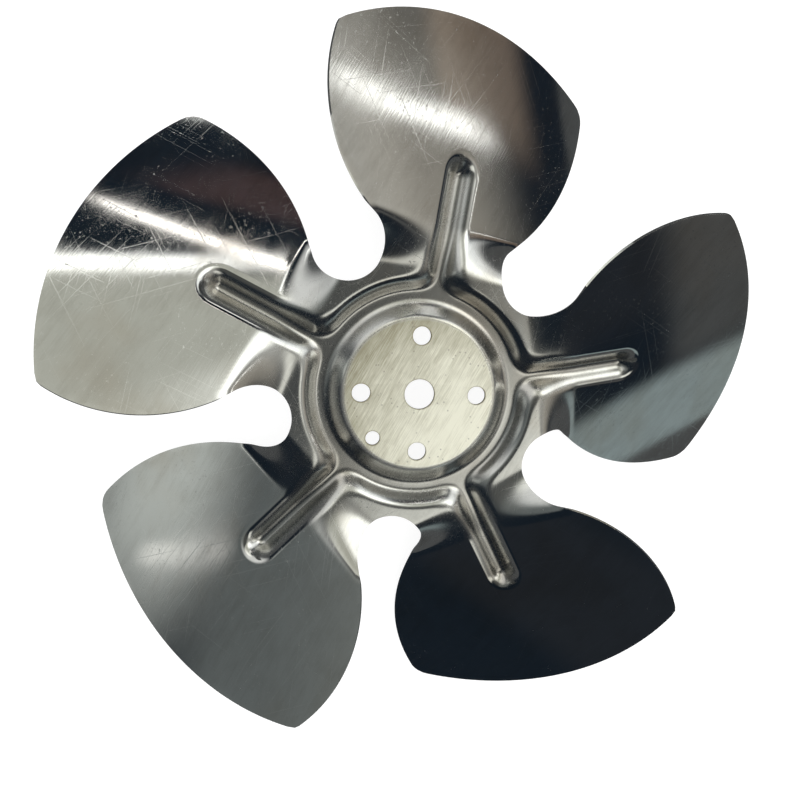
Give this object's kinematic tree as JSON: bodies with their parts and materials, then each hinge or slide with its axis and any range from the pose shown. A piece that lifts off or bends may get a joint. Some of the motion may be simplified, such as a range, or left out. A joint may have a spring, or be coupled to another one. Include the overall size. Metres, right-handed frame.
{
  "type": "exhaust fan blade",
  "caption": "Pressed sheet-aluminium axial fan blade with pitched blades, stiffening ribs and a flat drilled hub disc, for a small exhaust fan motor.",
  "frame": {"origin": "centre of the shaft hole on the upper face of the hub disc", "axes": "+Z along the shaft, out of the side with the grooves; the fixing holes lie on X and Y"},
  "size_m": [0.1954, 0.1994, 0.0493],
  "materials": {
    "aluminium_sheet": "bright rolled sheet, lightly scratched"
  },
  "bodies": {
    "root": {"fan_blade": "aluminium_sheet"}
  },
  "joints": []
}
